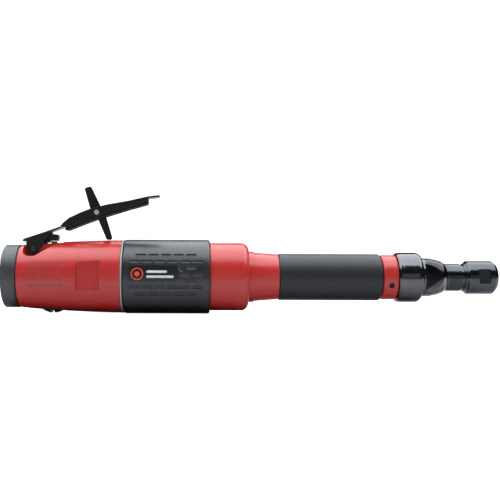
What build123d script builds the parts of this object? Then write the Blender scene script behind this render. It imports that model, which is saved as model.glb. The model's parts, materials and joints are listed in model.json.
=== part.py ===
"""Pneumatic extended die grinder, millimetres.

X runs along the spindle axis from the air inlet mouth (X = 0) to the collet,
Z is up on the lever side, Y is across.
"""
import os
from math import acos, cos, hypot, pi, radians, sin, sqrt, tan
from build123d import *

# driving dimensions
cap_r = 21.45            # exhaust deflector
cap_x0, cap_x1 = 7.2, 16.9
hs_x0, hs_vis, hs_x1 = 17.6, 87.0, 120.0   # motor housing: rear face, end of the visible part, front end
sleeve_x0, sleeve_x1, sleeve_r = 88.3, 146.5, 25.25
under_r = 22.4           # housing radius under the sleeve
barrel_r, barrel_x1 = 23.1, 172.8
collar_r, collar_x1 = 17.35, 176.5
taper_r0, taper_r1, taper_x1 = 16.7, 15.4, 193.3
tube_r = 12.5            # housing tube under the foam
foam_r, foam_x1 = 15.9, 262.8
ring_r, ring_x1 = 15.15, 273.4
bcap_r, bcap_x1, nose_x1 = 17.0, 290.6, 306.8
nut_r, nut_x0, nut_x1 = 11.3, 319.4, 341.9
valve_x = 39.7           # vertical valve axis
stem_r = 2.0
pivot = (26.8, 18.7)     # lever hinge, X and Z
rivet = (69.6, 43.6)     # latch hinge, X and Z
lever_w, lever_t, lever_s = 7.5, 1.5, 1.2      # half width, side wall and top sheet thickness
motor_r = 18.05          # motor bore
collet_bore_r = 3.0

os.makedirs("parts", exist_ok=True)
out = {}


def outline(pts):
    """Closed face in the XY plane; a third value on a point rounds that corner."""
    n = len(pts)
    spans = []
    for i in range(n):
        p0, p, p1 = pts[i - 1], pts[i], pts[(i + 1) % n]
        f = p[2] if len(p) > 2 else 0
        if f:
            a = (p0[0] - p[0], p0[1] - p[1])
            b = (p1[0] - p[0], p1[1] - p[1])
            la, lb = hypot(*a), hypot(*b)
            a, b = (a[0] / la, a[1] / la), (b[0] / lb, b[1] / lb)
            ang = acos(max(-1, min(1, a[0] * b[0] + a[1] * b[1])))
            d = f / tan(ang / 2)
            m = (a[0] + b[0], a[1] + b[1])
            lm = hypot(*m)
            k = (f / sin(ang / 2) - f) / lm
            spans.append(((p[0] + a[0] * d, p[1] + a[1] * d), (p[0] + m[0] * k, p[1] + m[1] * k),
                          (p[0] + b[0] * d, p[1] + b[1] * d)))
        else:
            spans.append(((p[0], p[1]), None, (p[0], p[1])))
    edges = []
    for i in range(n):
        s, m, e = spans[i]
        if m:
            edges.append(ThreePointArc(s, m, e).edge())
        nxt = spans[(i + 1) % n][0]
        if hypot(nxt[0] - e[0], nxt[1] - e[1]) > 1e-5:
            edges.append(Line(e, nxt).edge())
    return Face(Wire(edges))


def rev(*pts):
    """Solid of revolution about X from (x, r[, corner radius]) points."""
    return revolve(outline(list(pts)), axis=Axis.X)


def tube(x0, x1, ro, ri, c=0.0):
    if c:
        return rev((x0, ri), (x0, ro - c), (x0 + c, ro), (x1 - c, ro), (x1, ro - c), (x1, ri))
    return rev((x0, ri), (x0, ro), (x1, ro), (x1, ri))


def rod(x0, x1, r, c=0.0):
    if c:
        return rev((x0, 0), (x0, r - c), (x0 + c, r), (x1 - c, r), (x1, r - c), (x1, 0))
    return rev((x0, 0), (x0, r), (x1, r), (x1, 0))


def slab(pts, y0, y1):
    """XZ outline carried from y0 to y1."""
    return extrude(Plane(origin=(0, y1, 0), x_dir=(1, 0, 0), z_dir=(0, -1, 0)) * outline(pts), amount=y1 - y0, dir=(0, -1, 0))


def box(x0, x1, y0, y1, z0, z1):
    return Pos((x0 + x1) / 2, (y0 + y1) / 2, (z0 + z1) / 2) * Box(x1 - x0, y1 - y0, z1 - z0)


def cyl(p, d, r, length):
    return Plane(origin=p, z_dir=d) * Cylinder(r, length, align=(Align.CENTER, Align.CENTER, Align.MIN))


def upright(x, z0, z1, r, c=0.0):
    s = cyl((x, 0, z0), (0, 0, 1), r, z1 - z0)
    return s


def rotx(shape, deg):
    return Rot(deg, 0, 0) * shape


def put(node, *shapes):
    solids = []
    for s in shapes:
        solids += s.solids()
    shape = solids[0] if len(solids) == 1 else Compound(solids)
    out[node] = shape
    export_step(shape, "parts/%s.step" % node)
    print(node, len(solids), [round(v, 2) for v in (*shape.bounding_box().min, *shape.bounding_box().max)])


# ---------------------------------------------------------------- rear end
inlet = rev((0, 5.6), (0, 6.6), (0.6, 7.2), (6.8, 7.2), (6.8, 9.4, 0.4), (8.3, 9.4, 0.4), (8.3, 7.2), (17.3, 7.2),
            (17.3, 6.95), (29.6, 6.95), (29.6, 4.6), (13.0, 4.6), (13.0, 5.35), (12.0, 5.35), (12.0, 5.6))
put("inlet_bushing", inlet)

holes = [cyl((11.9, 0, 0), (1, 0, 0), 0.55, 1)]
for n, rr in ((6, 1.7), (12, 3.4)):
    for i in range(n):
        a = 2 * pi * i / n
        holes.append(cyl((11.9, rr * cos(a), rr * sin(a)), (1, 0, 0), 0.55, 1))
screen = rod(12.35, 12.95, 5.32) - [Pos(0.3, 0, 0) * h for h in holes]
put("inlet_screen", screen)

defl = rev((cap_x0, 9.8), (cap_x0, cap_r - 0.45), (cap_x0 + 0.45, cap_r), (cap_x1 - 0.25, cap_r), (cap_x1, cap_r - 0.25), (cap_x1, 19.2), (9.2, 19.2, 0.8),
           (9.2, 10.4, 0.8), (16.85, 10.4), (16.85, 7.27), (8.5, 7.27), (8.5, 9.8))
slots = []
for i in range(9):
    a = -100 + 25 * (i - 4) + 10
    slots.append(rotx(box(5, 10, 11.9, 18.0, -1.4, 1.4), a))
defl -= slots
put("exhaust_deflector", defl)
put("muffler_ring", tube(9.5, 16.5, 18.9, 10.7, 0.4))
put("housing_gasket", tube(17.05, 17.6, 20.7, 17.0))

# ---------------------------------------------------------------- motor housing
prof = [Line((hs_x0, 0), (hs_x0, 20.9)).edge(), Line((hs_x0, 20.9), (hs_x0 + 0.4, 21.3)).edge(),
        Spline((hs_x0 + 0.4, 21.3), (22.8, 21.85), (28.0, 22.35), (36.0, 22.85), (46.9, 23.5), (60, 24.1), (71, 24.5),
               (hs_vis - 0.4, 24.8)).edge(),
        Line((hs_vis - 0.4, 24.8), (hs_vis, 24.4)).edge(), Line((hs_vis, 24.4), (hs_vis, under_r)).edge(),
        Line((hs_vis, under_r), (hs_x1, under_r)).edge(), Line((hs_x1, under_r), (hs_x1, 0)).edge(),
        Line((hs_x1, 0), (hs_x0, 0)).edge()]
housing = revolve(Face(Wire(prof)), axis=Axis.X)
housing -= rod(58, 130, motor_r)
housing -= rod(17, 29.8, 7.0)
housing -= rod(29, valve_x, 4.6)
# valve bore, top bore and plug bore
housing -= upright(valve_x, -14.1, 18.6, 4.5)
housing -= upright(valve_x, -22.0, -14.0, 6.05)
housing -= upright(valve_x, -30, -19.8, 8.25)
# passage to the motor and exhaust passages
housing -= cyl((valve_x, 0, 12.5), (1, 0, 0), 2.0, 20)
housing -= [cyl((17, sy * 12.7, sz * 8.9), (1, 0, 0), 3.0, 42) for sy in (-1, 1) for sz in (-1, 1)]
# well under the lever for the pad
housing -= slab([(29.6, 18.6, 1.0), (46.2, 18.6, 1.5), (47.6, 30), (28.2, 30)], -4.8, 4.8)
# pockets at the sides for the lever ears
pocket = [(20.5, 30), (20.5, 13.8, 4.5), (29.0, 13.8, 4.2), (41.0, 21.2, 4), (46.5, 24.6, 3), (48, 30)]
for y0, y1 in ((-30, -5.7), (5.7, 30)):
    housing -= slab(pocket, y0, y1)
# pivot pin hole
housing -= cyl((pivot[0], -10, pivot[1]), (0, 1, 0), 1.5, 20)
# flat square recess on each side
for y0, y1 in ((-30, -21.9), (21.9, 30)):
    panel = box(57.5, 73.4, y0, y1, -8.2, 11.3)
    housing -= fillet(panel.edges().filter_by(Axis.Y), 0.8)
put("motor_housing", housing)

put("lever_pivot_pin", rotx(Pos(pivot[0], 0, pivot[1]) * Rot(90, 0, 0) * Cylinder(1.5, 16.8), 0))

# ---------------------------------------------------------------- valve
put("valve_bushing", upright(valve_x, 14.6, 18.6, 4.48) - upright(valve_x, 14, 19, stem_r + 0.05))
put("valve_seat", upright(valve_x, 7.0, 9.6, 4.48) - upright(valve_x, 6, 10, 2.7))
stem = upright(valve_x, 12.0, 24.0, stem_r)
stem = stem.chamfer(0.5, None, stem.edges().filter_by(GeomType.CIRCLE).sort_by(Axis.Z)[-1:])
stem += upright(valve_x, 6.6, 12.2, 1.5)
stem += upright(valve_x, 4.6, 6.8, 3.9)
stem += upright(valve_x, 2.6, 4.7, 1.9)
put("valve_stem", stem)


def coil(r, wire, pitch, height, turns_extra=0.0):
    """Closed helical wire, axis Z, base at 0."""
    path = Helix(pitch=pitch, height=height, radius=r)
    prof_ = (path ^ 0) * Circle(wire)
    return sweep(prof_, path=path, is_frenet=True)


put("valve_spring", Pos(valve_x, 0, -10.9) * coil(2.9, 0.4, 3.0, 15.0))
plug = upright(valve_x, -22.6, -20.1, 8.1)
plug = plug + (upright(valve_x, -26.2, -22.5, 8.1) & (Pos(valve_x, 0, -10.6) * Sphere(14.4)))
plug = plug + upright(valve_x, -20.3, -14.3, 5.95)
plug = plug + upright(valve_x, -14.4, -11.4, 4.2)
plug -= Pos(valve_x, 0, -17.6) * (Cylinder(6.4, 1.9) - Cylinder(4.9, 1.9))
plug -= box(valve_x - 1.2, valve_x + 1.2, -9, 9, -27, -22.9)
put("valve_plug", plug)
put("plug_oring", Pos(valve_x, 0, -17.6) * Torus(5.43, 0.5))

# ---------------------------------------------------------------- lever
top = [(19.3, 24.5), (20.5, 25.7), (32.5, 29.6), (44.6, 33.9), (46.9, 36.6), (50.7, 39.8), (58.0, 43.3), (65.4, 46.2),
       (76.5, 49.0), (91.2, 51.6), (103.6, 54.5), (112.4, 55.7)]
rad = [0, 1.2, 30, 4, 7, 25, 60, 25, 60, 60, 25, 0]


def shifted(pts, t):
    """Polyline moved down by t along its normals."""
    res = []
    for i, p in enumerate(pts):
        a = pts[max(i - 1, 0)]
        b = pts[min(i + 1, len(pts) - 1)]
        dx, dz = b[0] - a[0], b[1] - a[1]
        k = hypot(dx, dz)
        res.append((p[0] + dz / k * t, p[1] - dx / k * t))
    return res


def soft(v):
    return min(v, 6.0) if v else 0


low = shifted(top, lever_s)
sheet = slab([(p[0], p[1], min(r * 0.25, 4)) if r else p for p, r in zip(top, rad)]
             + [(p[0], p[1], min(r * 0.25, 4)) if r else p for p, r in list(zip(low, rad))[::-1]], -lever_w, lever_w)
walls_top = shifted(top, 0.25)
wall = [(45.5, 33.3, 0.8)] + [(p[0], p[1]) for p in walls_top[4:11]] + [(104.2, 52.2, 0.3), (98.6, 49.5), (83.9, 45.4), (69.6, 40.6),
                                                               (61.8, 37.5), (50.7, 33.8)]
ear = [(21.9, 25.7), (21.9, 14.6, 4.0), (29.2, 14.6, 3.7), (36.2, 27.0), (37.6, 31.0), (31.0, 28.8)]
lever = sheet
for y0, y1 in ((-lever_w, -lever_w + lever_t), (lever_w - lever_t, lever_w)):
    lever += slab(wall, y0, y1)
    lever += slab(ear, y0, y1)
lever -= cyl((pivot[0], -10, pivot[1]), (0, 1, 0), 1.56, 20)
lever -= cyl((rivet[0], -10, rivet[1]), (0, 1, 0), 1.33, 20)
lever -= slab([(51.4, 36), (77.6, 41.0), (77.2, 52), (51.4, 52)], -1.75, 1.75)
# rounded tip in plan
tip = box(100, 114, -9, 9, 45, 60) - (Pos(105.5, 0, 52) * extrude(RectangleRounded(13, 15, 5.0), amount=20, both=True)) - box(99, 104, -9, 9, 40, 65)
lever -= tip
put("throttle_lever", lever)

stiff_top = shifted(top, lever_s + 0.02)
web_low = shifted(top, lever_s + 1.2)
band = [(47.6, 32.0, 0.8)] + [p for p in stiff_top[5:10]] + [(102.0, 52.2), (104.8, 51.6, 0.7), (103.8, 49.2, 1.1), (91.0, 45.6),
                                                    (75.5, 40.8), (69.0, 38.7), (61.6, 36.0), (49.2, 31.1, 0.8)]
stiff = slab(band, -5.95, 5.95)
inner = [(41.6, 20), (48.8, 33.4)] + [p for p in web_low[5:10]] + [(102.0, 50.3), (112, 49.6), (112, 20)]
stiff -= slab(inner, -4.75, 4.75)
stiff -= cyl((rivet[0], -10, rivet[1]), (0, 1, 0), 1.33, 20)
stiff -= slab([(51.4, 30), (86.0, 44.0), (86.0, 52), (51.4, 52)], -1.75, 1.75)
stiff -= box(67.0, 72.4, -4.75, 4.75, 41.5, 50)     # room for the latch spring
put("lever_stiffener", stiff)

# actuator pad fixed under the lever
pad = slab([(31.6, 27.95), (31.7, 24.4, 0.6), (32.6, 22.9, 0.6), (36.2, 22.9, 0.6), (37.7, 24.3, 0.5), (42.5, 24.2, 0.5), (42.8, 28.2, 1.2),
            (39.9, 28.9, 0.8), (38.6, 27.9, 0.4), (38.0, 29.6), (37.9, 30.15)], -3.9, 3.9)
put("lever_pad", pad)

# ---------------------------------------------------------------- latch
blade = [(60.3, 60.4, 1.3), (64.6, 61.9, 1.3), (71.4, 48.0, 9.0), (75.4, 39.8, 9.0), (79.9, 25.0, 1.5), (75.8, 25.0, 1.4), (70.0, 38.6, 9.0),
         (64.2, 46.8, 9.0)]
latch = slab(blade, -1.2, 1.2)
latch -= cyl((rivet[0], -10, rivet[1]), (0, 1, 0), 1.36, 20)
put("safety_latch", latch)
riv = Pos(rivet[0], 0, rivet[1]) * Rot(90, 0, 0) * Cylinder(1.3, 15.4)
for s in (-1, 1):
    riv += Pos(rivet[0], s * 7.85, rivet[1]) * Rot(90, 0, 0) * Cylinder(1.65, 0.66)
put("latch_rivet", riv)
put("latch_spring", Pos(rivet[0], 4.3, rivet[1]) * Rot(90, 0, 0) * coil(1.52, 0.17, 0.5, 2.4))

# ---------------------------------------------------------------- sleeve
sleeve = rev((sleeve_x0, under_r + 0.05), (sleeve_x0, sleeve_r, 1.5), (sleeve_x1, sleeve_r, 1.7), (sleeve_x1, under_r + 0.05))
rows = [(35.9, 0), (25.3, 1), (15.3, 0), (5.1, 1), (-4.9, 0), (-14.6, 1), (-25.1, 0)]
odd = [100.7 + 8.28 * i for i in range(5)]
even = [96.6 + 8.3 * i for i in range(6)]


def scoop(x, length, tilt=0):
    """Shallow rounded groove cutter on the near side of the sleeve."""
    c = Rot(0, 90, 0) * Cylinder(1.5, length) + Pos(-length / 2, 0, 0) * Sphere(1.5) + Pos(length / 2, 0, 0) * Sphere(1.5)
    return Pos(x, -sleeve_r - 0.75, 0) * Rot(0, tilt, 0) * c


cutters = []
for side in (0, 1):
    for ang, kind in rows:
        for x in (even if kind else odd):
            if -9 < ang < 16 and x < 126.4:
                continue
            c = Rot(-ang, 0, 0) * scoop(x, 4.8)
            if side:
                c = Rot(180, 0, 0) * Rot(0, 0, 0) * c
            cutters.append(c)
cutters.append(Rot(-14.1, 0, 0) * scoop(126.8, 2.6, 55))
sleeve -= cutters
# seat for the side badge
badge_prof = Pos(109.1, 0, 0) * extrude(RectangleRounded(32.2, 10.4, 2.6), amount=30)
seat = (Rot(-6.6, 0, 0) * Rot(90, 0, 0) * badge_prof)
shell = tube(80, 150, 30, sleeve_r - 0.5)
sleeve -= seat & shell
put("grip_sleeve", sleeve)
small = Pos(109.1, 0, 0) * extrude(RectangleRounded(31.8, 10.0, 2.4), amount=30)
badge = (Rot(-6.6, 0, 0) * Rot(90, 0, 0) * small) & tube(80, 150, sleeve_r + 0.1, sleeve_r - 0.48)
put("side_badge", badge)
put("accent_ring", tube(hs_vis + 0.05, 88.0, 25.0, under_r + 0.05, 0.15))

# ---------------------------------------------------------------- motor
ports = [cyl((50, sy * 12.7, sz * 8.9), (1, 0, 0), 2.4, 80) for sy in (-1, 1) for sz in (-1, 1)]
dowel_hole = cyl((57, 0, -15.6), (1, 0, 0), 1.05, 60)
rear_plate = rod(58.05, 66.0, 18.0) - rod(58, 64.2, 9.52) - rod(60, 70, 4.6) - ports - dowel_hole
rear_plate -= cyl((57, 0, 13.0), (1, 0, 0), 1.7, 10)
put("rear_end_plate", rear_plate)
liner = rod(66.0, 104.0, 18.0) - Pos(0, 0, 1.3) * rod(65, 105, 14.5)
liner -= box(65, 105, 16.8, 20, -20, 20)
liner -= box(65, 105, -20, -16.8, -20, 20)
liner -= dowel_hole
liner -= [cyl((72 + 5.2 * i, -20, -2), (0, 1, 0), 1.4, 8) for i in range(6)]
put("cylinder_liner", liner)
front_plate = rod(104.0, 112.0, 18.0) - rod(106, 113, 9.52) - rod(100, 110, 4.6) - dowel_hole
put("front_end_plate", front_plate)
put("dowel_pin", cyl((60, 0, -15.6), (1, 0, 0), 1.0, 49))
rotor = rod(66.1, 103.9, 13.0) + rod(58.1, 124.0, 3.97, 0.3)
slot1 = box(66, 104, -1.05, 1.05, 6.9, 14)
rotor -= [rotx(slot1, 72 * i) for i in range(5)]
rotor -= [box(114.2, 125, s * 3.55 - (0 if s > 0 else 2), s * 3.55 + (2 if s > 0 else 0), -5, 5) for s in (-1, 1)]
put("rotor", rotor)
put("rotor_vanes", *[rotx(box(66.3, 103.7, -0.97, 0.97, 7.0, 12.9), 72 * i) for i in range(5)])


def bearing(x0, w, ri, ro, ball, n):
    """Rings, balls and cage of a ball bearing starting at x0."""
    c, pr = x0 + w / 2, (ri + ro) / 2
    g = ball + 0.06
    half = ball * 0.55
    inner_ = tube(x0, x0 + w, pr - half, ri, 0.2) - Pos(c, 0, 0) * Rot(0, 90, 0) * Torus(pr, g)
    outer_ = rev((x0 + 0.2, ro), (x0, ro - 0.2), (x0, pr + half), (x0 + w, pr + half), (x0 + w, ro - 0.2), (x0 + w - 0.2, ro))
    outer_ -= Pos(c, 0, 0) * Rot(0, 90, 0) * Torus(pr, g)
    balls = [rotx(Pos(c, 0, pr) * Sphere(ball), 360 / n * i) for i in range(n)]
    cage = tube(c - ball - 0.5, c + ball + 0.5, pr + half * 0.62, pr - half * 0.62)
    cage -= [rotx(Pos(c, 0, pr) * Sphere(ball + 0.06), 360 / n * i) for i in range(n)]
    return inner_, outer_, balls, cage


mb = [bearing(58.2, 6, 4.0, 9.5, 1.45, 8), bearing(106.0, 6, 4.0, 9.5, 1.45, 8)]
put("motor_bearing_inner", *[b[0] for b in mb])
put("motor_bearing_outer", *[b[1] for b in mb])
put("motor_bearing_balls", *[s for b in mb for s in b[2]])
put("motor_bearing_cages", *[b[3] for b in mb])
put("clamp_washer", tube(112.0, 112.6, 17.6, 10.4))

# ---------------------------------------------------------------- spindle housing
sh = rev((112.6, 12.6), (112.6, 17.9), (hs_x1, 17.9), (hs_x1, under_r), (sleeve_x1, under_r), (sleeve_x1, barrel_r, 0.5),
         (barrel_x1, barrel_r, 4.9), (barrel_x1, collar_r), (collar_x1, collar_r, 0.5), (collar_x1, taper_r0), (taper_x1 - 0.1, taper_r1, 0.6),
         (taper_x1 - 0.1, tube_r), (foam_x1, tube_r), (foam_x1, ring_r, 1.6), (ring_x1, ring_r, 1.2), (ring_x1, 13.95), (283.2, 13.95), (283.2, 12.02), (264.9, 12.02),
         (264.9, 9.0), (156.2, 9.0), (156.2, 12.02), (149.3, 12.02), (149.3, 12.9), (148.2, 12.9), (148.2, 12.6))
hole_dir = (0, -cos(radians(19.4)), -sin(radians(19.4)))
sh -= cyl((268.3, hole_dir[1] * 12.5, hole_dir[2] * 12.5), hole_dir, 2.0, 6)
put("spindle_housing", sh)
screw = cyl((268.3, hole_dir[1] * 12.55, hole_dir[2] * 12.55), hole_dir, 1.95, 1.3)
screw -= Plane(origin=(268.3, hole_dir[1] * 13.1, hole_dir[2] * 13.1), z_dir=hole_dir) * extrude(RegularPolygon(1.0, 6), amount=3)
put("ring_set_screw", screw)
put("foam_grip", rev((taper_x1, tube_r + 0.05), (taper_x1, foam_r, 1.0), (foam_x1 - 0.1, foam_r, 2.0), (foam_x1 - 0.1, tube_r + 0.05)))

sb = [bearing(150.2, 6, 6.0, 12.0, 1.6, 9), bearing(265.2, 6, 6.0, 12.0, 1.6, 9), bearing(277.2, 6, 6.0, 12.0, 1.6, 9)]
put("spindle_bearing_inner", *[b[0] for b in sb])
put("spindle_bearing_outer", *[b[1] for b in sb])
put("spindle_bearing_balls", *[s for b in sb for s in b[2]])
put("spindle_bearing_cages", *[b[3] for b in sb])
put("bearing_spacer_outer", tube(271.2, 277.2, 11.95, 10.4))
put("bearing_spacer_inner", tube(271.2, 277.2, 7.6, 6.0))
put("spacer_sleeve", tube(156.2, 265.2, 7.5, 6.0))
put("wave_washer", tube(149.35, 150.2, 11.8, 10.6))
clip = tube(148.35, 149.15, 12.8, 10.6) - box(148, 150, -1.6, 1.6, 8, 14)
put("retaining_ring", clip)
nut_ = tube(144.4, 150.2, 8.6, 5.95, 0.4) - [rotx(box(144, 147, -1.2, 1.2, 7.4, 10), 90 * i) for i in range(4)]
put("bearing_lock_nut", nut_)
put("drive_coupling", rev((114.2, 4.02), (114.2, 8.0, 0.8), (140.0, 8.0, 0.8), (140.0, 4.55), (126.2, 4.55), (126.2, 4.02)))

# ---------------------------------------------------------------- spindle
spindle = rev((126.5, 0), (126.5, 4.1), (126.9, 4.5), (144.0, 4.5), (144.0, 5.92), (283.2, 5.92), (283.2, 7.4), (307.0, 7.4), (307.0, 9.0),
              (307.3, 9.3), (317.6, 9.3, 0.3), (317.8, 8.5), (319.2, 8.5), (319.2, 8.0), (332.6, 8.0), (333.0, 7.6), (333.0, 6.45),
              (327.0, 4.85), (303.0, 4.85), (301.0, 0))
for s in (0, 180):      # two wrench flats on the flange
    spindle -= Rot(35 + s, 0, 0) * box(308.4, 318.5, -12, -8.0, -12, 12)
put("spindle", spindle)

# bearing cap: round nose with two slanted wrench flats
bcap = rev((ring_x1 + 0.1, 14.02), (ring_x1 + 0.1, bcap_r - 0.9), (ring_x1 + 1.1, bcap_r - 0.2), (ring_x1 + 2.6, bcap_r - 0.2),
           (ring_x1 + 2.9, bcap_r), (bcap_x1, bcap_r, 4.1), (bcap_x1, 13.2), (291.4, 13.2), (297.0, 12.9, 9), (301.5, 12.0, 6), (304.8, 10.9, 2),
           (nose_x1, 9.6, 0.6), (nose_x1, 7.75), (289.0, 7.75), (289.0, 10.5), (285.2, 10.5), (285.2, 9.8), (283.25, 9.8), (283.25, 14.02))
for s in (0, 180):
    bcap -= Rot(s + 90, 0, 0) * slab([(291.6, 8.8), (308.0, 11.7), (308.0, 16), (291.6, 16)], -14, 14)
put("bearing_cap", bcap)
put("felt_seal", tube(285.25, 288.95, 10.45, 7.5))

# ---------------------------------------------------------------- collet and nut
collet = rev((308.0, collet_bore_r), (308.0, 4.4), (308.4, 4.78), (326.9, 4.78), (333.2, 6.42), (334.4, 6.42), (338.6, 4.95),
             (339.7, 4.95), (340.2, 4.5), (340.2, collet_bore_r + 0.4), (339.8, collet_bore_r))
collet -= [rotx(box(313, 343, -0.4, 0.4, 0, 8), 90 + 120 * i) for i in range(3)]
put("collet", collet)
nut = rev((nut_x0, 8.08), (nut_x0, 8.9), (nut_x0 + 0.5, 9.5), (nut_x0 + 1.3, 9.5), (nut_x0 + 1.5, 9.9), (nut_x0 + 2.9, nut_r), (nut_x1 - 2.6, nut_r, 1.0),
          (nut_x1, nut_r - 2.3, 0.8), (nut_x1, 5.6), (nut_x1 - 0.5, 5.02), (338.66, 5.02), (334.4, 6.5), (334.2, 8.08))
for s in (0, 180):
    nut -= Rot(s - 7, 0, 0) * box(327.9, 336.1, -14, -10.15, -14, 14)
put("collet_nut", nut)
print(len(out), "nodes")
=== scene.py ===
import bpy
import bmesh
import json
import random
from math import sin, cos, tan, pi, radians, hypot, sqrt
from mathutils import Vector, Matrix


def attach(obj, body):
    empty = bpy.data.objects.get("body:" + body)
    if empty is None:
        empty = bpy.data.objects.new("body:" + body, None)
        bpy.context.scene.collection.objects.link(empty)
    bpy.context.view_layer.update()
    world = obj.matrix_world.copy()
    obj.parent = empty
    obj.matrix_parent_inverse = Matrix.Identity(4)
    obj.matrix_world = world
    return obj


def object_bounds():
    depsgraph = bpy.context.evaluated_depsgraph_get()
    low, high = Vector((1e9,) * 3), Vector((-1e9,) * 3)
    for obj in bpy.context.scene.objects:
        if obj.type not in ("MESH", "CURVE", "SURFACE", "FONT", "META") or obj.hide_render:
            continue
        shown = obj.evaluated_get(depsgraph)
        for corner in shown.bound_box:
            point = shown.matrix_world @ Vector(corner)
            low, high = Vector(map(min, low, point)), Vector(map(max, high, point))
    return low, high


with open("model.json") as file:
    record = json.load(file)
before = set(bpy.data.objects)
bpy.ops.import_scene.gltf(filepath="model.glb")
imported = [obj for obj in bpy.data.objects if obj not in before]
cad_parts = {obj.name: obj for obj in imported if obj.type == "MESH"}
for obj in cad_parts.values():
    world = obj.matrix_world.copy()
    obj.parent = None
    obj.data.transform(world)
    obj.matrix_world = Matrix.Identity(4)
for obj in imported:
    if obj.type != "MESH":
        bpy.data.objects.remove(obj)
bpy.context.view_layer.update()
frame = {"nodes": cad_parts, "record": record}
nodes = frame["nodes"]
scene = bpy.context.scene
MM = 0.001

# ------------------------------------------------------------------ shader helpers


class Mat:
    """A node material with a few short helpers. Coordinates are object ones, in metres."""

    def __init__(self, name):
        self.m = bpy.data.materials.new(name)
        self.m.use_nodes = True
        self.t = self.m.node_tree
        self.p = self.t.nodes["Principled BSDF"]
        self.tc = self.t.nodes.new("ShaderNodeTexCoord")
        self.sep = None

    def set(self, **kw):
        names = {"base": "Base Color", "metal": "Metallic", "rough": "Roughness", "spec": "Specular IOR Level", "coat": "Coat Weight",
                 "coat_rough": "Coat Roughness", "ior": "IOR", "sheen": "Sheen Weight", "sheen_rough": "Sheen Roughness",
                 "aniso": "Anisotropic", "tint": "Specular Tint"}
        for k, v in kw.items():
            s = self.p.inputs[names[k]]
            s.default_value = (*v, 1) if isinstance(v, (tuple, list)) else v
        return self

    def new(self, kind, **kw):
        n = self.t.nodes.new(kind)
        for k, v in kw.items():
            if k in n.bl_rna.properties:
                setattr(n, k, v)
        return n

    def link(self, a, b):
        self.t.links.new(a, b)

    def obj(self):
        return self.tc.outputs["Object"]

    def xyz(self):
        if self.sep is None:
            self.sep = self.new("ShaderNodeSeparateXYZ")
            self.link(self.obj(), self.sep.inputs[0])
        return self.sep.outputs

    def scaled(self, sx, sy, sz, loc=(0, 0, 0)):
        n = self.new("ShaderNodeMapping")
        n.inputs["Scale"].default_value = (sx, sy, sz)
        n.inputs["Location"].default_value = loc
        self.link(self.obj(), n.inputs["Vector"])
        return n.outputs[0]

    def noise(self, scale, detail=3.0, rough=0.5, vec=None, distortion=0.0):
        n = self.new("ShaderNodeTexNoise")
        n.inputs["Scale"].default_value = scale
        n.inputs["Detail"].default_value = detail
        n.inputs["Roughness"].default_value = rough
        n.inputs["Distortion"].default_value = distortion
        self.link(vec or self.obj(), n.inputs["Vector"])
        return n.outputs["Fac"]

    def voronoi(self, scale, feature="F1", vec=None, rand=1.0):
        n = self.new("ShaderNodeTexVoronoi")
        n.feature = feature
        n.inputs["Scale"].default_value = scale
        n.inputs["Randomness"].default_value = rand
        self.link(vec or self.obj(), n.inputs["Vector"])
        return n.outputs["Distance"]

    def wrap(self, v):
        return v

    def math(self, op, a, b=0.0, c=None, clamp=False):
        n = self.new("ShaderNodeMath")
        n.operation = op
        n.use_clamp = clamp
        for i, v in enumerate((a, b) if c is None else (a, b, c)):
            if isinstance(v, (int, float)):
                n.inputs[i].default_value = v
            else:
                self.link(v, n.inputs[i])
        return n.outputs[0]

    def ramp(self, v, stops, interp="LINEAR"):
        n = self.new("ShaderNodeValToRGB")
        n.color_ramp.interpolation = interp
        e = n.color_ramp.elements
        while len(e) < len(stops):
            e.new(0.5)
        for i, (p, c) in enumerate(stops):
            e[i].position = p
            e[i].color = (*c, 1) if isinstance(c, (tuple, list)) else (c, c, c, 1)
        self.link(v, n.inputs[0])
        return n.outputs[0]

    def range(self, v, a, b, c, d):
        n = self.new("ShaderNodeMapRange")
        for i, x in enumerate((v, a, b, c, d)):
            if isinstance(x, (int, float)):
                n.inputs[i].default_value = x
            else:
                self.link(x, n.inputs[i])
        return n.outputs[0]

    def mix(self, f, a, b, blend="MIX"):
        n = self.new("ShaderNodeMix")
        n.data_type = "RGBA"
        n.blend_type = blend
        ins = (n.inputs[0], n.inputs[6], n.inputs[7])
        for s, v in zip(ins, (f, a, b)):
            if isinstance(v, (int, float)):
                s.default_value = v
            elif isinstance(v, (tuple, list)):
                s.default_value = (*v, 1)
            else:
                self.link(v, s)
        return n.outputs[2]

    def bump(self, height, strength=0.3, dist=0.0001, normal=None):
        n = self.new("ShaderNodeBump")
        n.inputs["Strength"].default_value = strength
        n.inputs["Distance"].default_value = dist
        self.link(height, n.inputs["Height"])
        if normal is not None:
            self.link(normal, n.inputs["Normal"])
        return n.outputs[0]

    def edges(self, radius=0.0006):
        """0 on flat ground, up to 1 along convex edges."""
        b = self.new("ShaderNodeBevel")
        b.samples = 4
        b.inputs["Radius"].default_value = radius
        g = self.new("ShaderNodeNewGeometry")
        d = self.new("ShaderNodeVectorMath")
        d.operation = "DOT_PRODUCT"
        self.link(b.outputs[0], d.inputs[0])
        self.link(g.outputs["Normal"], d.inputs[1])
        return self.range(d.outputs["Value"], 0.995, 0.90, 0.0, 1.0)

    def out(self, socket, v):
        self.link(v, self.p.inputs[socket])


def turned(m, scale=2600.0):
    """Fine rings about X, as left by a lathe: noise that changes along X only."""
    return m.noise(1.0, 2.0, 0.6, m.scaled(scale, 18.0, 18.0))


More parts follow.
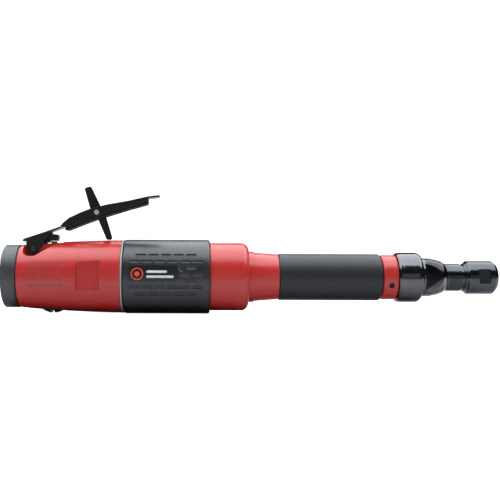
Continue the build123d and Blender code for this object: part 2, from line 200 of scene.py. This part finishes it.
# ------------------------------------------------------------------ materials
def mat_red():
    m = Mat("red_shell")
    m.set(rough=0.3, spec=0.55, coat=0.0)
    lines = turned(m, 1500.0)
    fine = turned(m, 5200.0)
    cloud = m.noise(55.0, 3.0, 0.55)
    c = m.ramp(cloud, [(0.3, (0.490, 0.024, 0.021)), (0.7, (0.530, 0.028, 0.025))])
    c = m.mix(m.range(lines, 0.35, 0.7, 0.0, 0.05), c, (0.40, 0.024, 0.018))
    wear = m.math("MULTIPLY", m.edges(0.0005), m.range(m.noise(420.0, 3.0, 0.6), 0.5, 0.72, 0.0, 1.0), clamp=True)
    c = m.mix(m.math("MULTIPLY", wear, 0.5), c, (0.62, 0.20, 0.17))
    # rows of small etched dashes on the side, plain marks only
    x, y, z = m.xyz()
    row = m.math("FRACT", m.math("DIVIDE", m.math("ADD", z, 0.0979), 0.0045))
    band = m.math("MULTIPLY", m.math("GREATER_THAN", row, 0.32), m.math("LESS_THAN", row, 0.70))
    cell = m.new("ShaderNodeTexWhiteNoise")
    cell.noise_dimensions = "2D"
    comb = m.new("ShaderNodeCombineXYZ")
    m.link(m.math("FLOOR", m.math("DIVIDE", x, 0.00125)), comb.inputs[0])
    m.link(m.math("FLOOR", m.math("DIVIDE", m.math("ADD", z, 0.0979), 0.0045)), comb.inputs[1])
    m.link(comb.outputs[0], cell.inputs["Vector"])
    dash = m.math("MULTIPLY", band, m.math("GREATER_THAN", cell.outputs["Value"], 0.22))
    gap = m.math("GREATER_THAN", m.math("FRACT", m.math("DIVIDE", x, 0.00125)), 0.24)
    dash = m.math("MULTIPLY", dash, gap)
    short = m.math("MULTIPLY", m.math("LESS_THAN", z, 0.0012), 0.0022)      # the two lower rows are a little shorter
    inx = m.math("MULTIPLY", m.math("GREATER_THAN", x, m.math("ADD", short, 0.0243)), m.math("LESS_THAN", x, m.math("SUBTRACT", 0.0512, short)))
    inz = m.math("MULTIPLY", m.math("GREATER_THAN", z, -0.0072), m.math("LESS_THAN", z, 0.0100))
    near = m.math("LESS_THAN", y, 0.0)
    mark = m.math("MULTIPLY", m.math("MULTIPLY", inx, inz), m.math("MULTIPLY", near, dash))
    c = m.mix(m.math("MULTIPLY", mark, 0.72), c, (0.130, 0.060, 0.058))
    # painted shade: the flat floor of the recessed side panel is coloured a deeper red than the curved shell, standing
    # in for the highlight it does not catch
    px = m.math("MULTIPLY", m.math("GREATER_THAN", x, 0.0574), m.math("LESS_THAN", x, 0.0735))
    pz = m.math("LESS_THAN", m.math("ABSOLUTE", m.math("SUBTRACT", z, 0.00155)), 0.0098)
    panel_painted_shade = m.math("MULTIPLY", px, pz)
    c = m.mix(m.math("MULTIPLY", panel_painted_shade, 0.35), c, (0.50, 0.016, 0.012))
    m.out("Base Color", c)
    r = m.range(m.math("ADD", m.math("MULTIPLY", lines, 0.15), m.math("MULTIPLY", cloud, 0.85)), 0.3, 0.75, 0.27, 0.34)
    r = m.math("ADD", r, m.math("MULTIPLY", mark, 0.2))
    m.out("Roughness", r)
    b = m.bump(fine, 0.02, 0.00001)
    b = m.bump(m.noise(900.0, 4.0, 0.6), 0.05, 0.00004, b)
    m.out("Normal", b)
    return m.m


def mat_rubber(name, base, rough, grain, spec=0.5, bump=0.25):
    m = Mat(name)
    m.set(spec=spec)
    cloud = m.noise(70.0, 4.0, 0.55)
    g = m.noise(grain, 5.0, 0.65)
    dark = tuple(v * 0.78 for v in base)
    light = tuple(v * 1.25 for v in base)
    c = m.mix(m.range(cloud, 0.3, 0.7, 0.0, 1.0), dark, light)
    c = m.mix(m.math("MULTIPLY", m.edges(0.0007), 0.35), c, tuple(v * 2.2 for v in base))
    dust = m.range(m.voronoi(2600.0), 0.0, 0.16, 1.0, 0.0)
    c = m.mix(m.math("MULTIPLY", dust, 0.10), c, (0.16, 0.16, 0.165))
    m.out("Base Color", c)
    m.out("Roughness", m.range(m.math("ADD", m.math("MULTIPLY", g, 0.5), m.math("MULTIPLY", cloud, 0.5)), 0.3, 0.7, rough - 0.05, rough + 0.07))
    m.out("Normal", m.bump(g, bump, 0.00006))
    return m.m


def mat_foam():
    m = Mat("foam")
    m.set(spec=0.44)
    cells = m.voronoi(1900.0)
    cloud = m.noise(60.0, 4.0, 0.6)
    g = m.noise(2400.0, 5.0, 0.7)
    c = m.mix(m.range(cloud, 0.3, 0.7, 0.0, 1.0), (0.0105, 0.0105, 0.0125), (0.0160, 0.0160, 0.0185))
    c = m.mix(m.range(cells, 0.0, 0.5, 0.35, 0.0), c, (0.006, 0.006, 0.007))
    m.out("Base Color", c)
    m.out("Roughness", m.range(g, 0.3, 0.7, 0.42, 0.56))
    b = m.bump(cells, 0.22, 0.00008)
    b = m.bump(g, 0.2, 0.00005, b)
    m.out("Normal", b)
    return m.m


def mat_metal(name, base, rough, lines=0.5, wear=(0.5, 0.5, 0.5), wear_amount=0.5, bump=0.12, metal=1.0, ring_scale=2600.0, nose_x=None):
    m = Mat(name)
    m.set(metal=metal, spec=0.5)
    l1 = turned(m, ring_scale)
    l2 = turned(m, ring_scale * 2.7)
    cloud = m.noise(130.0, 4.0, 0.6)
    dark = tuple(v * 0.8 for v in base)
    light = tuple(v * 1.22 for v in base)
    f = m.math("ADD", m.math("MULTIPLY", l1, lines), m.math("MULTIPLY", cloud, 1.0 - lines))
    c = m.mix(m.range(f, 0.3, 0.7, 0.0, 1.0), dark, light)
    e = m.math("MULTIPLY", m.edges(0.0004), m.range(m.noise(700.0, 4.0, 0.65), 0.42, 0.62, 0.25, 1.0), clamp=True)
    c = m.mix(m.math("MULTIPLY", e, wear_amount), c, wear)
    sc = m.range(m.noise(1.0, 3.0, 0.7, m.scaled(90.0, 2600.0, 2600.0)), 0.66, 0.74, 0.0, 1.0)
    c = m.mix(m.math("MULTIPLY", sc, 0.10), c, wear)
    if nose_x is not None:
        # the domed nose past the collar carries painted light: its upper part is darkened towards black as painted
        # shade, a band below the lower flat edge is a lighter grey painted reflection, and its two wrench flats are
        # painted near black as painted shade
        x, y, z = m.xyz()
        nose = m.range(x, nose_x - 0.0004, nose_x + 0.0004, 0.0, 1.0)
        # painted shade: darker towards the top of the nose
        painted_top_shade = m.math("MULTIPLY", nose, m.range(z, -0.002, 0.005, 0.0, 0.68))
        c = m.mix(painted_top_shade, c, (0.0, 0.0, 0.0))
        nrm = m.new("ShaderNodeSeparateXYZ")
        m.link(m.tc.outputs["Normal"], nrm.inputs[0])
        flat = m.math("MULTIPLY", nose, m.range(m.math("ABSOLUTE", nrm.outputs[1]), 0.955, 0.975, 0.0, 0.66))
        along = m.math("SUBTRACT", x, nose_x)
        up = m.math("SUBTRACT", m.math("SUBTRACT", 0.0100, m.math("MULTIPLY", along, 0.60)), z)
        down = m.math("SUBTRACT", z, m.math("ADD", -0.0086, m.math("MULTIPLY", along, 0.78)))
        inside = m.range(m.math("MINIMUM", up, down), -0.0004, 0.0004, 0.0, 1.0)
        flat = m.math("MULTIPLY", flat, inside)
        # painted reflection: a lighter grey band just under the lower flat edge
        painted_reflection_below = m.math("MULTIPLY", nose, m.range(down, -0.0008, 0.0002, 0.6, 0.0))
        c = m.mix(painted_reflection_below, c, (0.26, 0.26, 0.265))
        # painted shade: the two wrench flats are painted near black
        c = m.mix(flat, c, (0.004, 0.004, 0.0045))
    m.out("Base Color", c)
    m.out("Roughness", m.range(m.math("ADD", m.math("MULTIPLY", l2, 0.5), m.math("MULTIPLY", cloud, 0.5)), 0.3, 0.7, rough * 0.8, rough * 1.25))
    b = m.bump(l2, bump, 0.00003)
    b = m.bump(m.noise(1500.0, 3.0, 0.6), 0.05, 0.00003, b)
    m.out("Normal", b)
    return m.m


def mat_black():
    m = Mat("black_steel")
    m.set(spec=0.42, coat=0.0)
    cloud = m.noise(140.0, 4.0, 0.6)
    peel = m.noise(900.0, 3.0, 0.5)
    c = m.mix(m.range(cloud, 0.3, 0.7, 0.0, 1.0), (0.0038, 0.0037, 0.0040), (0.0062, 0.0060, 0.0065))
    # convex edges lightened to grey-blue: partly wear broken up by noise, partly a painted highlight, as every edge
    # gets at least about a third of the lightening
    e = m.math("MULTIPLY", m.edges(0.00045), m.range(m.noise(600.0, 4.0, 0.65), 0.40, 0.60, 0.35, 1.0), clamp=True)
    c = m.mix(m.math("MULTIPLY", e, 0.6), c, (0.115, 0.118, 0.125))
    m.out("Base Color", c)
    m.out("Roughness", m.range(cloud, 0.3, 0.7, 0.30, 0.42))
    m.out("Normal", m.bump(peel, 0.10, 0.00006))
    return m.m


def mat_plain(name, base, rough, metal=0.0, grain=1200.0, bump=0.12, spec=0.5, vary=0.18):
    m = Mat(name)
    m.set(metal=metal, spec=spec)
    cloud = m.noise(160.0, 4.0, 0.6)
    g = m.noise(grain, 4.0, 0.6)
    c = m.mix(m.range(cloud, 0.3, 0.7, 0.0, 1.0), tuple(v * (1 - vary) for v in base), tuple(min(1, v * (1 + vary)) for v in base))
    c = m.mix(m.math("MULTIPLY", m.edges(0.0003), 0.25), c, tuple(min(1, v * 1.8 + 0.03) for v in base))
    m.out("Base Color", c)
    m.out("Roughness", m.range(g, 0.3, 0.7, max(0.05, rough - 0.06), rough + 0.08))
    m.out("Normal", m.bump(g, bump, 0.00004))
    return m.m


def mat_felt():
    m = Mat("felt")
    m.set(rough=0.95, spec=0.2, sheen=0.3, sheen_rough=0.5)
    f1 = m.noise(1.0, 5.0, 0.75, m.scaled(900.0, 2600.0, 900.0))
    f2 = m.noise(3000.0, 4.0, 0.7)
    c = m.mix(m.range(f1, 0.3, 0.7, 0.0, 1.0), (0.10, 0.098, 0.092), (0.24, 0.235, 0.22))
    m.out("Base Color", c)
    m.out("Normal", m.bump(m.math("ADD", f1, f2), 0.7, 0.0002))
    return m.m


red = mat_red()
rubber = mat_rubber("dark_rubber", (0.0150, 0.0152, 0.0185), 0.33, 2600.0, 0.62, 0.14)
foam = mat_foam()
deflector = mat_metal("deflector_finish", (0.088, 0.089, 0.092), 0.50, 0.25, (0.22, 0.22, 0.23), 0.20, 0.08, 0.85, 1800.0)
blackened = mat_metal("blackened_steel", (0.105, 0.105, 0.112), 0.17, 0.5, (0.42, 0.42, 0.43), 0.45, 0.10)
capsteel = mat_metal("cap_steel", (0.105, 0.105, 0.112), 0.17, 0.5, (0.42, 0.42, 0.43), 0.45, 0.10, nose_x=0.2925)
nutsteel = mat_metal("nut_steel", (0.068, 0.071, 0.078), 0.19, 0.5, (0.40, 0.40, 0.41), 0.45, 0.10)
black = mat_black()
bright = mat_metal("bright_steel", (0.56, 0.56, 0.57), 0.22, 0.6, (0.8, 0.8, 0.8), 0.3, 0.1)
rivet = mat_metal("rivet_steel", (0.62, 0.62, 0.63), 0.45, 0.2, (0.9, 0.9, 0.9), 0.6, 0.1, 0.7)
brass = mat_metal("brass_turned", (0.68, 0.42, 0.15), 0.24, 0.5, (0.85, 0.65, 0.35), 0.4, 0.1)
alloy = mat_metal("alloy", (0.62, 0.62, 0.64), 0.32, 0.6, (0.8, 0.8, 0.8), 0.3, 0.1)
cast = mat_plain("cast_iron_machined", (0.16, 0.16, 0.165), 0.45, 1.0, 700.0, 0.3)
wire = mat_metal("spring_wire", (0.42, 0.42, 0.44), 0.25, 0.2, (0.7, 0.7, 0.7), 0.3, 0.1)
pale = mat_plain("pale_ring", (0.36, 0.385, 0.385), 0.35, 0.0, 1500.0, 0.08, 0.5, 0.06)
badge_m = mat_plain("badge_black", (0.010, 0.010, 0.012), 0.30, 0.0, 1500.0, 0.06, 0.5, 0.15)
seal = mat_plain("seal_rubber", (0.006, 0.006, 0.006), 0.5, 0.0, 1800.0, 0.15)
vane = mat_plain("vane_laminate", (0.20, 0.11, 0.05), 0.5, 0.0, 900.0, 0.3)
cage = mat_plain("cage_polyamide", (0.30, 0.25, 0.16), 0.45)
felt = mat_felt()
mark_red = mat_plain("badge_orange", (0.80, 0.085, 0.035), 0.4, 0.0, 1600.0, 0.06, 0.4, 0.08)
mark_pale = mat_plain("badge_pale", (0.72, 0.73, 0.75), 0.4, 0.0, 1600.0, 0.06, 0.4, 0.06)

by_slot = {"black_steel": black, "red_shell": red, "dark_plastic": deflector, "dark_rubber": rubber, "foam": foam, "pale_ring": pale,
           "badge": badge_m, "blackened": blackened, "bright_steel": bright, "brass": brass, "spring_steel": wire, "alloy": alloy,
           "cast": cast, "vane": vane, "felt": felt, "seal_rubber": seal, "cage": cage, "rivet_steel": rivet}
by_node = {"bearing_cap": capsteel, "collet_nut": nutsteel, "spindle": nutsteel}
slots = {s["node"]: s["material_slot"] for s in frame["record"]["subparts"]}
for name, o in nodes.items():
    mat = by_node.get(name, by_slot[slots[name]])
    if not o.material_slots:
        o.data.materials.append(mat)
    for s in o.material_slots:
        s.material = mat

# soft edges on the sheet metal and small steel pieces
for name, w in (("throttle_lever", 0.0005), ("lever_stiffener", 0.0003), ("lever_pad", 0.0003), ("safety_latch", 0.0005),
                ("collet_nut", 0.00022), ("spindle", 0.00020), ("bearing_cap", 0.00025), ("latch_rivet", 0.00035), ("lever_pivot_pin", 0.0003),
                ("valve_plug", 0.0003), ("motor_housing", 0.00025)):
    b = nodes[name].modifiers.new("edge", "BEVEL")
    b.width = w
    b.segments = 2
    b.limit_method = "ANGLE"
    b.angle_limit = radians(38)
    b.harden_normals = True
    b.use_clamp_overlap = True


# ------------------------------------------------------------------ extra pieces
def mesh_piece(name, verts, faces, mat, body, smooth=True):
    me = bpy.data.meshes.new(name)
    me.from_pydata(verts, [], faces)
    me.validate()
    bm = bmesh.new()
    bm.from_mesh(me)
    bmesh.ops.recalc_face_normals(bm, faces=bm.faces)
    bm.to_mesh(me)
    bm.free()
    o = bpy.data.objects.new(name, me)
    bpy.context.collection.objects.link(o)
    me.materials.append(mat)
    for p in me.polygons:
        p.use_smooth = smooth
    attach(o, body)
    return o


BADGE_R = 25.36
BADGE_X, BADGE_A = 109.1, 6.6      # centre of the badge, mm and degrees above the horizontal


def on_badge(u, v, h):
    """Point on the badge: u along X, v round the sleeve (up), h proud, all in mm."""
    a = radians(BADGE_A) + v / BADGE_R
    r = BADGE_R + h
    return Vector(((BADGE_X + u) * MM, -r * cos(a) * MM, r * sin(a) * MM))


def plate(name, outline, h0, h1, mat, inner=None):
    """Thin raised mark over the badge from a closed outline, or a ring between two outlines."""
    n = len(outline)
    vs, fs = [], []
    if inner is None:
        c = (sum(p[0] for p in outline) / n, sum(p[1] for p in outline) / n)
        for h in (h0, h1):
            vs += [on_badge(*p, h) for p in outline]
        vs.append(on_badge(*c, h1))
        vs.append(on_badge(*c, h0))
        for i in range(n):
            j = (i + 1) % n
            fs += [(i, j, n + j, n + i), (n + i, n + j, 2 * n), (j, i, 2 * n + 1)]
    else:
        for line, h in ((outline, h0), (outline, h1), (inner, h1), (inner, h0)):
            vs += [on_badge(*p, h) for p in line]
        for i in range(n):
            j = (i + 1) % n
            for k in range(4):
                a, b = k * n, ((k + 1) % 4) * n
                fs.append((a + i, a + j, b + j, b + i))
    return mesh_piece(name, vs, fs, mat, "housing", False)


def circle(cx, cy, r, n=48):
    return [(cx + r * cos(2 * pi * i / n), cy + r * sin(2 * pi * i / n)) for i in range(n)]


def pill(x0, x1, cy, w, n=10):
    r = w / 2
    pts = []
    for i in range(n + 1):
        a = -pi / 2 + pi * i / n
        pts.append((x1 - r + r * cos(a), cy + r * sin(a)))
    for i in range(n + 1):
        a = pi / 2 + pi * i / n
        pts.append((x0 + r + r * cos(a), cy + r * sin(a)))
    return pts


plate("badge_ring", circle(-10.7, -0.4, 4.1), -0.05, 0.10, mark_red, circle(-10.7, -0.4, 3.35))
plate("badge_dot", circle(-10.7, -0.4, 1.6), -0.05, 0.10, mark_red)
plate("badge_bar_a", pill(-4.6, 9.0, 1.10, 1.6), -0.05, 0.08, mark_pale)
plate("badge_bar_b", pill(-4.6, 13.4, -2.20, 1.6), -0.05, 0.08, mark_pale)

# ------------------------------------------------------------------ stage
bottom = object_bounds()[0][2]
bpy.ops.mesh.primitive_plane_add(size=12, location=(0.17, 5.72, bottom - 0.0002))
floor = bpy.context.object
floor.name = "floor"
fm = bpy.data.materials.new("floor_white")
fm.use_nodes = True
ft = fm.node_tree
fp = ft.nodes["Principled BSDF"]
fp.inputs["Base Color"].default_value = (0.55, 0.55, 0.56, 1)
fp.inputs["Roughness"].default_value = 0.9
fp.inputs["Specular IOR Level"].default_value = 0.1
em = ft.nodes.new("ShaderNodeEmission")
em.inputs[0].default_value = (1, 1, 1, 1)
em.inputs[1].default_value = 1.0
lp = ft.nodes.new("ShaderNodeLightPath")
add = ft.nodes.new("ShaderNodeMixShader")
ft.links.new(lp.outputs["Is Camera Ray"], add.inputs[0])
ft.links.new(fp.outputs[0], add.inputs[1])
mx2 = ft.nodes.new("ShaderNodeAddShader")
ft.links.new(em.outputs[0], mx2.inputs[0])
ft.links.new(fp.outputs[0], mx2.inputs[1])
ft.links.new(mx2.outputs[0], add.inputs[2])
ft.links.new(add.outputs[0], ft.nodes["Material Output"].inputs[0])
floor.data.materials.append(fm)

w = bpy.data.worlds.new("studio")
scene.world = w
w.use_nodes = True
wt = w.node_tree
bg = wt.nodes["Background"]
bg.inputs[0].default_value = (0.9, 0.93, 1.0, 1)
bg.inputs[1].default_value = 0.05
bg2 = wt.nodes.new("ShaderNodeBackground")
bg2.inputs[0].default_value = (1, 1, 1, 1)
bg2.inputs[1].default_value = 1.3
lpw = wt.nodes.new("ShaderNodeLightPath")
mxw = wt.nodes.new("ShaderNodeMixShader")
wt.links.new(lpw.outputs["Is Camera Ray"], mxw.inputs[0])
wt.links.new(bg.outputs[0], mxw.inputs[1])
wt.links.new(bg2.outputs[0], mxw.inputs[2])
wt.links.new(mxw.outputs[0], wt.nodes["World Output"].inputs[0])


def area(name, loc, target, size, power, color=(1, 1, 1)):
    l = bpy.data.lights.new(name, "AREA")
    l.shape = "RECTANGLE"
    l.size, l.size_y = size
    l.energy = power
    l.color = color
    o = bpy.data.objects.new(name, l)
    bpy.context.collection.objects.link(o)
    o.location = loc
    d = Vector(target) - Vector(loc)
    o.rotation_euler = d.to_track_quat("-Z", "Y").to_euler()
    return o


# overhead softbox, wide along X, its front edge about 57 degrees above the horizon
area("top_box", (0.17, 0.20, 0.80), (0.17, 0.20, 0.0), (2.4, 1.40), 42.0, (0.93, 0.985, 1.02))
# weak frontal fill
area("front_fill", (0.17, -1.6, 0.25), (0.17, 0, 0.0), (1.6, 0.5), 1.0)

# ------------------------------------------------------------------ camera
cam_d = bpy.data.cameras.new("camera")
cam = bpy.data.objects.new("camera", cam_d)
bpy.context.collection.objects.link(cam)
DIST = 0.536
cam.location = (0.1377, -DIST, 0.0178)
cam.rotation_euler = (radians(90), radians(-0.22), 0)
cam_d.sensor_width = 36.0
cam_d.lens = 36.0 * DIST / 0.34375
cam_d.shift_x = 0.106
cam_d.shift_y = 0.0015
cam_d.clip_start = 0.01
scene.camera = cam
scene.view_settings.view_transform = "Standard"
scene.view_settings.look = "None"
